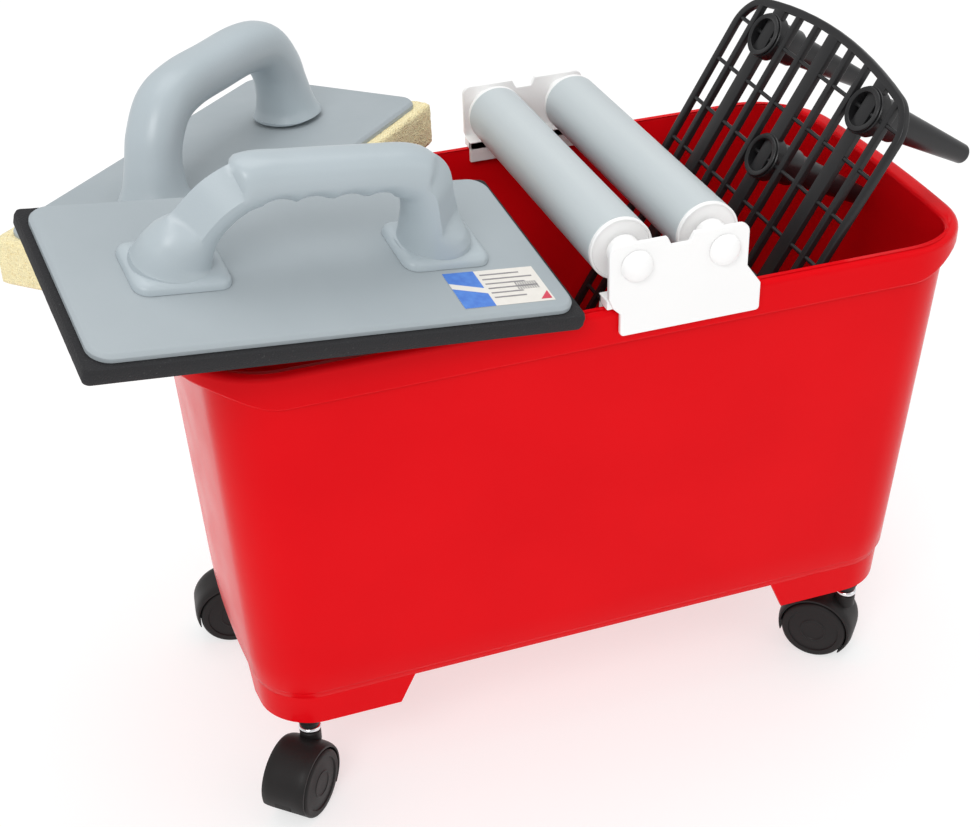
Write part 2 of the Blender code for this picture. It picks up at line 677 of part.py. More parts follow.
def build():
    for old in list(bpy.data.objects):
        bpy.data.objects.remove(old)
    red = material("red_plastic", (0.70, 0.01, 0.012), 0.25)
    foam = material("black_foam_rubber", (0.015, 0.015, 0.017), 0.9)
    sponge = material("yellow_sponge", (0.74, 0.60, 0.27), 0.95)
    finishes = {
        "black": material("black_plastic", (0.02, 0.02, 0.022), 0.45),
        "white": material("white_plastic", (0.85, 0.85, 0.83), 0.35),
        "grey": material("grey_plastic", (0.36, 0.41, 0.44), 0.4),
        "steel": material("bright_steel", (0.75, 0.76, 0.78), 0.2, 1.0),
    }
    make_bucket(red)
    for corner, (sign_x, sign_y, heading) in CASTERS.items():
        make_caster(corner, sign_x, sign_y, heading, finishes)
    make_bracket("wringer_bracket_front", -1, finishes["white"])
    make_bracket("wringer_bracket_back", 1, finishes["white"])
    make_roller("left", ROLLER_X[0], finishes)
    make_roller("right", ROLLER_X[1], finishes)
    make_grate(finishes)
    make_float("front", FRONT_PLACE, FRONT_TURN, FRONT_PLATE,
               {"path": (83.0, 62.0, 57.0, 30.0), "half_widths": (15.0, 15.5),
                "foot": (29.0, 24.0)},
               {"name": "rubber_pad", "proud": 5.0, "thick": FRONT_PAD_THICK, "finish": foam},
               finishes)
    make_float("rear", REAR_PLACE, REAR_TURN, REAR_PLATE,
               {"path": (79.0, 65.0, 66.0, 34.0), "half_widths": (18.0, 17.0),
                "foot": (25.0, 23.0)},
               {"name": "sponge", "proud": 6.5, "thick": SPONGE_THICK, "finish": sponge},
               finishes)
    centre_set()


build()
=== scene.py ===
"""The looks of a tiler's wash set: a wheeled bucket, a two-roller wringer, a drain grate and two floats.

Sizes are in millimetres and become metres where a mesh is made. Every place is worked out from
the frame's own nodes: the bucket's box, the rollers, the casters' stems and axles, the grate's legs
and the floats' screws.
"""

import bmesh
import bpy
from math import cos, pi, radians, sin, sqrt
from mathutils import Matrix, Vector, noise


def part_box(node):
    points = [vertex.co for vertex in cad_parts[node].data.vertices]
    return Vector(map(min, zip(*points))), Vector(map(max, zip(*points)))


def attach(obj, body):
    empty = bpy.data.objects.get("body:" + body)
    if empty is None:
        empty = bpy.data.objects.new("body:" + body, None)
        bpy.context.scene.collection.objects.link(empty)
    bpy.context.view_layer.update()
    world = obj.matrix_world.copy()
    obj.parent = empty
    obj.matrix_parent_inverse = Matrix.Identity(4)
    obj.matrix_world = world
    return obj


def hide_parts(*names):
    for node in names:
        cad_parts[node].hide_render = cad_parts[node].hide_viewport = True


MM = 0.001
GAP = 0.3                         # clearance between pieces that touch, as in the CAD

# Bucket
WALL = 3.0
BODY_BOTTOM_Z = 95.4
BODY_TOP_Z = 345.0
BODY_BOTTOM_HALF = (241.0, 115.0)
BODY_TOP_HALF = (252.0, 132.7)
CORNER_RADIUS = 40.0
END_BOW = 8.0
RIM_TOP_Z = 370.6
RIM_HALF = (265.0, 137.2)
RIM_CORNER_RADIUS = 54.0
RIM_SKIN = 2.6
SKIRT_RISE = 13.0                 # how much shorter the skirt is at the two ends
RISE_FROM_X = (215.0, 262.0)      # where it starts to climb, and where it is at its shortest
LEDGE_Z = 102.0
LEDGE_STEP = 2.0
FOOT_BOTTOM_Z = 70.9
FOOT_INNER_X = (149.0, 138.0)     # at the foot's bottom and at its top
FOOT_INNER_Y = (62.0, 54.0)

# Casters
WHEEL_RADIUS = 25.0
WHEEL_WIDTH = 11.0
WEB_HALF = 6.0
HOOD_TOP_Z = 56.0
HOOD_ARC = (-194.0, 40.0)         # where the cover starts and stops around the wheel, in degrees
HOOD_CLEAR = 1.2                  # from the tread to the cover
STEM_RADIUS = 4.0

# Wringer
ROLLER_RADIUS = 21.0
TUBE_HALF = 114.5
CAP_FACE = 118.0
PLATE_Y = (137.8, 141.3)
HOOK_Y = (125.0, 128.6)
BRIDGE_Z = (371.0, 377.6)
HOOK_LOW_Z = 361.5
HEAD_LEFT = 17.8                  # from the left roller's axis to the head's left edge
HEAD_RIGHT = 17.0
HEAD_TOP = 15.2                   # above the rollers' axes
FLANGE_LOW = 48.3                 # below the rollers' axes
DOME_RADIUS = 10.5

# Drain grate
GRATE_WIDTH = 218.0
GRATE_THICK = 5.0
ROD_PITCH = 33.6
ROD_COUNT = 11
ROD_RADIUS = 1.5
GRATE_END = 32.0
GRATE_BOW = 16.0
SLAT_PITCH = 21.9
SLAT_WIDE = 12.0
SLAT_NARROW = 5.0
FRAME_WIDTH = 6.0
LEG_LENGTH = 100.0
LEG_MOUTH = 13.5
LEG_TIP = 7.0
RING_HIGH = 0.8                   # a leg's ring stands this much above the slats
LIP_THICK = 1.6                   # of the leg, over the ring
LEG_SPOTS = {                     # rod counted from the top, and column counted from the middle
    "top_left": (0, 3),
    "top_right": (0, -3),
    "upper_middle": (2, 0),
    "lower_middle": (8, 0),
    "bottom_left": (10, 3),
    "bottom_right": (10, -3),
}

# Floats
FRONT_PLATE = (300.0, 140.0)
REAR_PLATE = (290.0, 145.0)
PLATE_THICK = 5.0
PAD_THICK = 10.0
PAD_PROUD = 5.0
SPONGE_THICK = 31.5
SPONGE_PROUD = 6.5
FRONT_FOOT_X = 83.0               # from the handle's middle to the middle of each plinth
PLINTH_HALF = (29.0, 24.0)
FINGER_GROOVES = (-42.0, 46.0, 4, 3.2)    # first and last x, how many, and their depth

# Sticker, in the front plate's own frame
LABEL_X = (75.0, 137.0)
LABEL_Y = (-62.0, -28.0)
LABEL_BLUE = 21.0                 # the blue end's width
LABEL_TOP = 0.22                  # the paper's face above the plate

# Camera: heading from +Y towards +X, angle down, and tilt, with its place from the bucket's middle
CAMERA_YAW = 18.363
CAMERA_PITCH = 32.554
CAMERA_ROLL = -1.659
CAMERA_PLACE = (-364.16, -975.93, 877.67)
CAMERA_LENS = 61.63


# ---------------------------------------------------------------- frame

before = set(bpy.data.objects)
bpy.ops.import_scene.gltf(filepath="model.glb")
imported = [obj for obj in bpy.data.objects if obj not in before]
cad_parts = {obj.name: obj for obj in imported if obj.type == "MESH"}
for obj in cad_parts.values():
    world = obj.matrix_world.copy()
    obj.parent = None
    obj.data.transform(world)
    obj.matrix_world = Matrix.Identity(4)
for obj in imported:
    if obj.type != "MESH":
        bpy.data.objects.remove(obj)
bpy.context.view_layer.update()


def box_middle(node):
    low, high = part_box(node)
    return (Vector(low) + Vector(high)) / 2


def points_of(node):
    return [vertex.co.copy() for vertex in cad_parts[node].data.vertices]


def mean(points):
    total = Vector((0, 0, 0))
    for point in points:
        total += point
    return total / len(points)


def axes_matrix(origin, along, across, out):
    rotation = Matrix((along, across, out)).transposed().to_4x4()
    return Matrix.Translation(origin) @ rotation


def bucket_frame():
    middle = box_middle("bucket")
    return Matrix.Translation((middle.x, middle.y, 0))


def caster_frame(corner):
    """Origin on the floor below the stem, X towards the axle: the way the wheels trail."""
    stem = box_middle(f"caster_{corner}_stem")
    axle = box_middle(f"caster_{corner}_axle")
    stem.z = axle.z = 0
    along = (axle - stem).normalized()
    up = Vector((0, 0, 1))
    return axes_matrix(stem, along, up.cross(along), up), (axle - stem).length / MM


def grate_frame():
    """X runs up the slats, Y across them, and Z out of the panel, whose top face is at Z = 0."""
    legs = {label: mean(points_of(f"grate_leg_{label}")) for label in LEG_SPOTS}
    along = (legs["top_left"] - legs["bottom_left"]).normalized()
    across = (legs["top_left"] - legs["top_right"]).normalized()
    out = along.cross(across)
    lip = max(point.dot(out) for point in points_of("grate_leg_top_left"))
    first_rod = (legs["top_left"] + legs["top_right"]) / 2
    face = lip - (RING_HIGH + GAP + LIP_THICK) * MM
    return axes_matrix(first_rod + out * (face - first_rod.dot(out)), along, across, out)


def float_frame(label):
    """Origin in the middle of the plate's top face, X from the left screw to the right one."""
    left = mean(points_of(f"{label}_float_screw_left"))
    right = mean(points_of(f"{label}_float_screw_right"))
    along = (right - left).normalized()
    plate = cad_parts[f"{label}_float_plate"].data
    widest = max((p for p in plate.polygons if p.normal.z > 0.5), key=lambda p: p.area)
    out = widest.normal.normalized()
    across = out.cross(along).normalized()
    middle = (left + right) / 2
    top = plate.vertices[widest.vertices[0]].co.dot(out)
    return axes_matrix(middle + out * (top - middle.dot(out)), along, across, out)


BUCKET = bucket_frame()


# ---------------------------------------------------------------- materials

def shader_material(name, colour, roughness, metallic=0.0):
    made = bpy.data.materials.new(name)
    made.use_nodes = True
    shader = made.node_tree.nodes["Principled BSDF"]
    shader.inputs["Base Color"].default_value = (*colour, 1)
    shader.inputs["Roughness"].default_value = roughness
    shader.inputs["Metallic"].default_value = metallic
    return made, shader


def add(made, kind, **values):
    node = made.node_tree.nodes.new(kind)
    for name, value in values.items():
        if name in node.inputs:
            node.inputs[name].default_value = value
        else:
            setattr(node, name, value)
    return node


def join(made, source, output, target, socket):
    made.node_tree.links.new(source.outputs[output], target.inputs[socket])


def object_place(made, stretch=(1, 1, 1)):
    """Object coordinates, stretched along an axis for grain that has a direction."""
    place = add(made, "ShaderNodeTexCoord")
    mapping = add(made, "ShaderNodeMapping", Scale=stretch)
    join(made, place, "Object", mapping, "Vector")
    return mapping


def ramp_colour(made, shader, source, output, low, high):
    """Base colour that runs from low to high, each a (source value, colour)."""
    ramp = add(made, "ShaderNodeValToRGB")
    for element, (position, colour) in zip(ramp.color_ramp.elements, (low, high)):
        element.position = position
        element.color = (*colour, 1)
    join(made, source, output, ramp, "Fac")
    join(made, ramp, "Color", shader, "Base Color")


def vary_colour(made, shader, place, colour, other, scale):
    cloud = add(made, "ShaderNodeTexNoise", Scale=scale, Detail=4.0)
    join(made, place, "Vector", cloud, "Vector")
    ramp_colour(made, shader, cloud, "Fac", (0.3, colour), (0.7, other))


def vary_roughness(made, shader, place, low, high, scale):
    cloud = add(made, "ShaderNodeTexNoise", Scale=scale, Detail=6.0)
    join(made, place, "Vector", cloud, "Vector")
    span = add(made, "ShaderNodeMapRange")
    span.inputs["From Min"].default_value = 0.35
    span.inputs["From Max"].default_value = 0.65
    span.inputs["To Min"].default_value = low
    span.inputs["To Max"].default_value = high
    join(made, cloud, "Fac", span, "Value")
    join(made, span, "Result", shader, "Roughness")


def bumps(made, shader, heights, strength, distance):
    """A bump from the sum of the (node, output) height sources."""
    source, output = heights[0]
    for other, other_output in heights[1:]:
        total = add(made, "ShaderNodeMath", operation="ADD")
        join(made, source, output, total, 0)
        join(made, other, other_output, total, 1)
        source, output = total, "Value"
    bump = add(made, "ShaderNodeBump", Strength=strength, Distance=distance)
    join(made, source, output, bump, "Height")
    join(made, bump, "Normal", shader, "Normal")


def grain(made, place, scale, detail=2.0):
    cloud = add(made, "ShaderNodeTexNoise", Scale=scale, Detail=detail)
    join(made, place, "Vector", cloud, "Vector")
    return cloud


def moulded_plastic(name, colour, other, roughness, grain_scale, grain_depth, specular=0.5):
    """Moulded plastic: faint clouds of colour, uneven gloss and a fine skin texture."""
    made, shader = shader_material(name, colour, roughness[0])
    shader.inputs["Specular IOR Level"].default_value = specular
    place = object_place(made)
    vary_colour(made, shader, place, colour, other, 9.0)
    vary_roughness(made, shader, place, *roughness, 28.0)
    bumps(made, shader, [(grain(made, place, grain_scale), "Fac")], 0.25, grain_depth)
    return made


def foam_rubber(name, colour, speck):
    """Cellular rubber: pinholes, and a few pale specks of dust."""
    made, shader = shader_material(name, colour, 0.85)
    place = object_place(made)
    cells = add(made, "ShaderNodeTexVoronoi", Scale=900.0)
    join(made, place, "Vector", cells, "Vector")
    dust = grain(made, place, 700.0, 1.0)
    ramp_colour(made, shader, dust, "Fac", (0.70, colour), (0.80, speck))
    bumps(made, shader, [(cells, "Distance"), (grain(made, place, 160.0), "Fac")], 0.6, 0.0006)
    return made


def open_sponge(name, colour, pore_shade_colour):
    """Open-celled sponge: round pores of two sizes, with painted shade darkening their depths."""
    made, shader = shader_material(name, colour, 0.95)
    shader.inputs["Sheen Weight"].default_value = 0.25
    shader.inputs["Sheen Roughness"].default_value = 0.5
    place = object_place(made)
    coarse = add(made, "ShaderNodeTexVoronoi", Scale=330.0)
    fine = add(made, "ShaderNodeTexVoronoi", Scale=900.0)
    join(made, place, "Vector", coarse, "Vector")
    join(made, place, "Vector", fine, "Vector")
    # painted shade: the second colour darkens each pore towards its centre, where its hollow lies
    ramp_colour(made, shader, coarse, "Distance", (0.05, pore_shade_colour), (0.42, colour))
    bumps(made, shader, [(coarse, "Distance"), (fine, "Distance")], 0.8, 0.0012)
    return made


def drawn_tube(name, colour, other):
    """Extruded tube: fine streaks along its length (the piece's Z)."""
    made, shader = shader_material(name, colour, 0.42)
    shader.inputs["Specular IOR Level"].default_value = 0.4
    place = object_place(made, (1, 1, 0.06))
    vary_colour(made, shader, place, colour, other, 60.0)
    vary_roughness(made, shader, object_place(made), 0.36, 0.5, 40.0)
    bumps(made, shader, [(grain(made, place, 260.0), "Fac")], 0.15, 0.0002)
    return made


def plated_steel(name):
    made, shader = shader_material(name, (0.80, 0.81, 0.83), 0.12, 1.0)
    place = object_place(made)
    vary_roughness(made, shader, place, 0.08, 0.2, 300.0)
    return made


def printed(name, colour, other):
    """Printed paper film: nearly flat colour with a soft sheen and slight mottling."""
    made, shader = shader_material(name, colour, 0.4)
    vary_colour(made, shader, object_place(made), colour, other, 180.0)
    return made


LOOKS = {
    "red": moulded_plastic("red_moulded", (0.74, 0.003, 0.007), (0.70, 0.002, 0.006),
                           (0.20, 0.26), 380.0, 0.00004, 0.06),
    "black": moulded_plastic("black_moulded", (0.012, 0.012, 0.013), (0.018, 0.018, 0.019),
                             (0.28, 0.40), 900.0, 0.0002, 0.35),
    "caster_black": moulded_plastic("caster_moulded", (0.014, 0.013, 0.013),
                                    (0.020, 0.018, 0.018), (0.42, 0.58), 1200.0, 0.0003, 0.2),
    "white": moulded_plastic("white_moulded", (0.93, 0.93, 0.925), (0.90, 0.90, 0.895),
                             (0.34, 0.44), 500.0, 0.0001),
    "plate": moulded_plastic("grey_plate", (0.385, 0.43, 0.455), (0.355, 0.40, 0.425),
                             (0.42, 0.58), 800.0, 0.0002, 0.2),
    "handle": moulded_plastic("grey_handle", (0.43, 0.49, 0.525), (0.40, 0.46, 0.49),
                              (0.28, 0.40), 900.0, 0.0002),
    "tube": drawn_tube("grey_tube", (0.54, 0.59, 0.605), (0.505, 0.555, 0.575)),
    "steel": plated_steel("bright_plate"),
    "foam": foam_rubber("cell_rubber", (0.014, 0.014, 0.016), (0.05, 0.05, 0.05)),
    "sponge": open_sponge("open_sponge", (0.98, 0.86, 0.50), (0.90, 0.72, 0.36)),
    "paper": printed("paper_white", (0.78, 0.75, 0.70), (0.74, 0.71, 0.66)),
    "ink_blue": printed("paper_blue", (0.05, 0.17, 0.60), (0.08, 0.24, 0.68)),
    "ink_grey": printed("paper_grey", (0.22, 0.21, 0.22), (0.30, 0.29, 0.30)),
    "ink_red": printed("paper_red", (0.66, 0.05, 0.10), (0.60, 0.04, 0.08)),
}


# ---------------------------------------------------------------- mesh helpers

def piece(name, builder, look, body, place, stands_for=(), sharp=30.0, bevel=0.0):
    """A finished object from a bmesh in the millimetres of its own frame."""
    bmesh.ops.remove_doubles(builder, verts=builder.verts, dist=0.001)
    bmesh.ops.recalc_face_normals(builder, faces=builder.faces)
    bmesh.ops.scale(builder, vec=(MM, MM, MM), verts=builder.verts)
    mesh = bpy.data.meshes.new(name)
    builder.to_mesh(mesh)
    builder.free()
    mesh.shade_smooth()
    mesh.set_sharp_from_angle(angle=radians(sharp))
    mesh.materials.append(LOOKS[look])
    made = bpy.data.objects.new(name, mesh)
    bpy.context.scene.collection.objects.link(made)
    made.matrix_world = place
    if bevel:
        edge = made.modifiers.new("Bevel", "BEVEL")
        edge.width = bevel * MM
        edge.segments = 3
        edge.limit_method = "ANGLE"
        edge.angle_limit = radians(sharp)
        edge.harden_normals = True
    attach(made, body)
    if stands_for:
        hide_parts(*stands_for)
    return made


def arc(centre, radius, start, stop, steps):
    angles = [radians(start + (stop - start) * i / steps) for i in range(steps + 1)]
    return [(centre[0] + radius * cos(a), centre[1] + radius * sin(a)) for a in angles]


def skin(builder, loops, closed=False, caps=True):
    """Side faces between neighbouring loops, with end caps, or round to the first loop if closed."""
    rings = [[builder.verts.new(Vector(point)) for point in loop] for loop in loops]
    count = len(rings[0])
    pairs = list(zip(rings, rings[1:]))
    if closed:
        pairs.append((rings[-1], rings[0]))
    for lower, upper in pairs:
        for i in range(count):
            j = (i + 1) % count
            builder.faces.new((lower[i], lower[j], upper[j], upper[i]))
    if caps and not closed:
        builder.faces.new(list(reversed(rings[0])))
        builder.faces.new(rings[-1])
    return rings


def spin(builder, profile, segments=48, change=None):
    """A profile of (radius, height) points spun about Z, closed where it meets the axis."""
    rows = []
    for radius, height in profile:
        if radius < 0.001:
            rows.append([builder.verts.new((0, 0, height))])
        else:
            angles = [2 * pi * i / segments for i in range(segments)]
            rows.append([builder.verts.new((radius * cos(a), radius * sin(a), height))
                         for a in angles])
    for first, second in zip(rows, rows[1:]):
        for i in range(segments):
            j = (i + 1) % segments
            if len(first) == 1 and len(second) == 1:
                continue
            if len(first) == 1:
                builder.faces.new((first[0], second[j], second[i]))
            elif len(second) == 1:
                builder.faces.new((first[i], first[j], second[0]))
            else:
                builder.faces.new((first[i], first[j], second[j], second[i]))
    if change:
        bmesh.ops.transform(builder, matrix=change, verts=[v for row in rows for v in row])


def outline(half_x, half_y, radius, bow=0.0, steps=12, side_steps=12):
    """A rounded rectangle with points along its sides, whose two X ends may bulge by bow."""
    points = []
    corners = ((1, -1, -90), (1, 1, 0), (-1, 1, 90), (-1, -1, 180))
    for sign_x, sign_y, start in corners:
        centre = (sign_x * (half_x - radius), sign_y * (half_y - radius))
        points.extend(arc(centre, radius, start, start + 90, steps))
        following = corners[(corners.index((sign_x, sign_y, start)) + 1) % 4]
        angle = radians(start + 90)
        here = points[-1]
        there = (following[0] * (half_x - radius) + radius * cos(angle),
                 following[1] * (half_y - radius) + radius * sin(angle))
        for step in range(1, side_steps):
            share = step / side_steps
            points.append((here[0] + (there[0] - here[0]) * share,
                           here[1] + (there[1] - here[1]) * share))
    if not bow:
        return points
    return [(x + bow * (x / half_x) * max(0.0, 1 - (y / half_y) ** 2), y) for x, y in points]


def at_height(points, z):
    return [(x, y, z) for x, y in points]


def rectangle(left, right, low, high):
    return [(left, low), (right, low), (right, high), (left, high)]


TO_Y = Matrix.Rotation(radians(-90), 4, "X")
TO_MINUS_Y = Matrix.Rotation(radians(90), 4, "X")


# ---------------------------------------------------------------- bucket

def body_half(z):
    share = (z - BODY_BOTTOM_Z) / (BODY_TOP_Z - BODY_BOTTOM_Z)
    return [low + (high - low) * share for low, high in zip(BODY_BOTTOM_HALF, BODY_TOP_HALF)]


def body_loop(z, inset=0.0):
    half_x, half_y = body_half(z)
    radius = CORNER_RADIUS - 4.0 * (RIM_TOP_Z - z) / RIM_TOP_Z - inset
    return at_height(outline(half_x - inset, half_y - inset, radius, END_BOW), z)


def rim_loop(z, inset=0.0, rise=0.0):
    """A loop of the rim. With a rise it climbs round the corners and stays high along both ends."""
    points = outline(RIM_HALF[0] - inset, RIM_HALF[1] - inset, RIM_CORNER_RADIUS - inset, END_BOW)
    start, stop = RISE_FROM_X
    loop = []
    for x, y in points:
        share = min(1.0, max(0.0, (abs(x) - start) / (stop - start)))
        loop.append((x, y, z + rise * share * share * (3 - 2 * share)))
    return loop


def make_bucket():
    builder = bmesh.new()
    floor_top = BODY_BOTTOM_Z + WALL
    loops = [body_loop(floor_top, WALL + 12.0)]
    for step in range(1, 6):
        turn = radians(90 * step / 5)
        loops.append(body_loop(floor_top + 8.0 * (1 - cos(turn)), WALL + 8.0 * (1 - sin(turn))))
    levels = 12
    inside_top = RIM_TOP_Z - 3.0
    for step in range(1, levels + 1):
        loops.append(body_loop(floor_top + 8.0 + (inside_top - floor_top - 8.0) * step / levels, WALL))
    for step in range(1, 5):
        turn = radians(90 * step / 4)
        loops.append(body_loop(inside_top + 3.0 * sin(turn), WALL - 3.0 * (1 - cos(turn))))
    loops.append(rim_loop(RIM_TOP_Z - 0.2, 6.5))
    for step in range(0, 7):
        turn = radians(90 * step / 6)
        loops.append(rim_loop(RIM_TOP_Z - 0.2 - 5.0 * (1 - cos(turn)), 5.0 * (1 - sin(turn))))
    loops.append(rim_loop(BODY_TOP_Z + 2.0, 0.0, SKIRT_RISE))
    for step in range(0, 5):
        turn = radians(180 * step / 4)
        loops.append(rim_loop(BODY_TOP_Z + 1.2 - 1.2 * sin(turn), 1.25 * (1 - cos(turn)), SKIRT_RISE))
    loops.append(rim_loop(BODY_TOP_Z + 2.0, RIM_SKIN, SKIRT_RISE))
    loops.append(rim_loop(RIM_TOP_Z - 8.0, RIM_SKIN + 0.2))
    loops.append(body_loop(RIM_TOP_Z - 7.0, -0.4))
    loops.append(body_loop(BODY_TOP_Z, 0.0))
    for step in range(1, levels + 1):
        loops.append(body_loop(BODY_TOP_Z + (LEDGE_Z + 1.0 - BODY_TOP_Z) * step / levels, 0.0))
    loops.append(body_loop(LEDGE_Z, 0.35))
    loops.append(body_loop(LEDGE_Z - 1.2, LEDGE_STEP - 0.3))
    loops.append(body_loop(LEDGE_Z - 2.4, LEDGE_STEP))
    loops.append(body_loop(BODY_BOTTOM_Z + 0.6, LEDGE_STEP))
    loops.append(body_loop(BODY_BOTTOM_Z, LEDGE_STEP + 0.6))
    skin(builder, loops)
    return piece("bucket_shell", builder, "red", "bucket", BUCKET, ["bucket"], sharp=50.0)


def cutter(name, loops):
    builder = bmesh.new()
    skin(builder, loops)
    bmesh.ops.recalc_face_normals(builder, faces=builder.faces)
    bmesh.ops.scale(builder, vec=(MM, MM, MM), verts=builder.verts)
    mesh = bpy.data.meshes.new(name)
    builder.to_mesh(mesh)
    builder.free()
    made = bpy.data.objects.new(name, mesh)
    bpy.context.scene.collection.objects.link(made)
    made.matrix_world = BUCKET
    return made


def cut(target, tool):
    modifier = target.modifiers.new("Cut", "BOOLEAN")
    modifier.operation = "DIFFERENCE"
    modifier.solver = "EXACT"
    modifier.object = tool
    bpy.context.view_layer.update()
    graph = bpy.context.evaluated_depsgraph_get()
    target.data = bpy.data.meshes.new_from_object(target.evaluated_get(graph))
    target.modifiers.clear()
    bpy.data.objects.remove(tool)


def make_feet():
    """The wall below the floor, cut away between the corners."""
    builder = bmesh.new()
    inset = LEDGE_STEP
    loops = [body_loop(BODY_BOTTOM_Z + 0.8, inset + WALL), body_loop(FOOT_BOTTOM_Z, inset + WALL),
             body_loop(FOOT_BOTTOM_Z, inset + 0.8), body_loop(FOOT_BOTTOM_Z + 0.8, inset),
             body_loop(BODY_BOTTOM_Z + 0.8, inset)]
    skin(builder, loops, closed=True)
    feet = piece("bucket_feet", builder, "red", "bucket", BUCKET, sharp=40.0)
    low, high = FOOT_BOTTOM_Z - 2.0, BODY_BOTTOM_Z + 0.1
    reach = 300.0
    for half, across in ((FOOT_INNER_X, True), (FOOT_INNER_Y, False)):
        corners = [(-half[0] - 1, low), (half[0] + 1, low), (half[1], high), (-half[1], high)]
        if across:
            loops = [[(x, y, z) for x, z in corners] for y in (-reach, reach)]
        else:
            loops = [[(y, x, z) for x, z in corners] for y in (-reach, reach)]
        cut(feet, cutter("notch", loops))
    feet.data.shade_smooth()
    feet.data.set_sharp_from_angle(angle=radians(40))
    edge = feet.modifiers.new("Bevel", "BEVEL")
    edge.width = 0.5 * MM
    edge.segments = 2
    edge.limit_method = "ANGLE"
    edge.angle_limit = radians(50)


# ---------------------------------------------------------------- casters

CORNERS = ("front_left", "front_right", "back_left", "back_right")


def make_boss(corner, place):
    """The bucket's own socket boss."""
    builder = bmesh.new()
    spin(builder, [(6.3, FOOT_BOTTOM_Z + 1), (9.9, FOOT_BOTTOM_Z + 1), (10.5, FOOT_BOTTOM_Z + 1.6),
                   (10.5, BODY_BOTTOM_Z + 0.5)], 40)
    upright = Matrix.Translation(place.translation)
    piece(f"bucket_boss_{corner}", builder, "red", "bucket", upright)


def make_caster_top(corner, place):
    """The socket's collar in the bucket, and the plated stem with its ring."""
    collar_low = HOOD_TOP_Z + 5.0
    top = FOOT_BOTTOM_Z + 0.7
    builder = bmesh.new()
    spin(builder, [(STEM_RADIUS + GAP, collar_low), (6.2, collar_low), (7.2, collar_low + 0.5),
                   (7.6, collar_low + 2.2), (7.9, collar_low + 3.4), (8.7, collar_low + 5.0),
                   (8.9, collar_low + 6.6), (8.6, top - 0.6), (8.2, top), (6.0, top),
                   (6.0, BODY_BOTTOM_Z - 2.5), (STEM_RADIUS + GAP, BODY_BOTTOM_Z - 2.5)], 40)
    piece(f"caster_{corner}_collar", builder, "caster_black", "bucket", place,
          [f"caster_{corner}_socket"])
    low = HOOD_TOP_Z + GAP
    high = collar_low - GAP
    builder = bmesh.new()
    ring = arc((6.0, (low + high) / 2), (high - low) / 2, -80, 80, 8)
    spin(builder, [(0, 36), (STEM_RADIUS, 36), (STEM_RADIUS, low), (5.6, low)] + ring
         + [(5.6, high), (STEM_RADIUS, high), (STEM_RADIUS, BODY_BOTTOM_Z - 4),
            (2.8, BODY_BOTTOM_Z - 2.8), (0, BODY_BOTTOM_Z - 2.8)], 40)
    piece(f"caster_{corner}_stem_fine", builder, "steel", f"swivel_{corner}", place,
          [f"caster_{corner}_stem"])


def make_hood(corner, place, trail):
    """A crowned cover over both wheels, on a middle web that carries stem and axle."""
    builder = bmesh.new()
    cover_in = WHEEL_RADIUS + HOOD_CLEAR
    cover_out = HOOD_TOP_Z - WHEEL_RADIUS - 1.5
    half = WEB_HALF + GAP + WHEEL_WIDTH - 1.0
    start, stop = HOOD_ARC
    across = [(-1 + 2 * i / 16) for i in range(17)]
    loops = []
    for step in range(41):
        turn = radians(start + (stop - start) * step / 40)
        way = (-cos(turn), -sin(turn))
        near_tip = min(step, 40 - step) / 5.0
        thick = (cover_out - cover_in) * min(1.0, 0.45 + 0.55 * near_tip)
        outer = [(s * half, cover_in + thick * (1 - 0.55 * abs(s) ** 6)) for s in across]
        inner = [(s * half, cover_in) for s in reversed(across)]
        loops.append([(trail + r * way[0], y, WHEEL_RADIUS + r * way[1]) for y, r in outer + inner])
    skin(builder, loops)
    edge = [radians(start + 4 + (stop - start - 8) * i / 36) for i in range(37)]
    rim = [(trail - (cover_out - 1) * cos(a), WHEEL_RADIUS - (cover_out - 1) * sin(a)) for a in edge]
    skin(builder, [[(x, y, z) for x, z in rim] for y in (-WEB_HALF, WEB_HALF)])
    spin(builder, [(0, 46), (7.6, 46), (7.6, HOOD_TOP_Z - 0.6), (7.0, HOOD_TOP_Z), (0, HOOD_TOP_Z)], 36)
    piece(f"caster_{corner}_cover", builder, "caster_black", f"swivel_{corner}", place,
          [f"caster_{corner}_hood"], sharp=40.0)


def make_wheel(corner, side, sign, place, trail):
    """A wheel with a rounded tread, a shallow dish, and a raised hub boss on its outer face."""
    inner = WEB_HALF + GAP
    outer = inner + WHEEL_WIDTH
    radius = WHEEL_RADIUS
    shoulder = arc((radius - 2.6, outer - 2.6), 2.6, 0, 90, 6)
    profile = [(3.3, inner), (radius - 1.5, inner), (radius, inner + 1.5)] + shoulder + [
        (radius - 5.4, outer), (radius - 5.9, outer - 0.9), (radius - 6.4, outer - 0.9),
        (15.0, outer - 0.6), (10.2, outer - 0.4), (9.8, outer + 0.0), (8.9, outer + 0.0),
        (8.3, outer - 0.5), (3.0, outer - 0.7), (0, outer - 0.7)]
    builder = bmesh.new()
    turn = TO_Y if sign > 0 else TO_MINUS_Y
    spin(builder, profile, 72, turn)
    centre = place @ Matrix.Translation((trail * MM, 0, WHEEL_RADIUS * MM))
    piece(f"caster_{corner}_disc_{side}", builder, "caster_black", f"wheel_{corner}_{side}", centre,
          [f"caster_{corner}_wheel_{side}"], sharp=25.0)


def make_casters():
    for corner in CORNERS:
        place, trail = caster_frame(corner)
        make_boss(corner, place)
        make_caster_top(corner, place)
        make_hood(corner, place, trail)
        for side, sign in (("a", -1), ("b", 1)):
            make_wheel(corner, side, sign, place, trail)


# ---------------------------------------------------------------- wringer

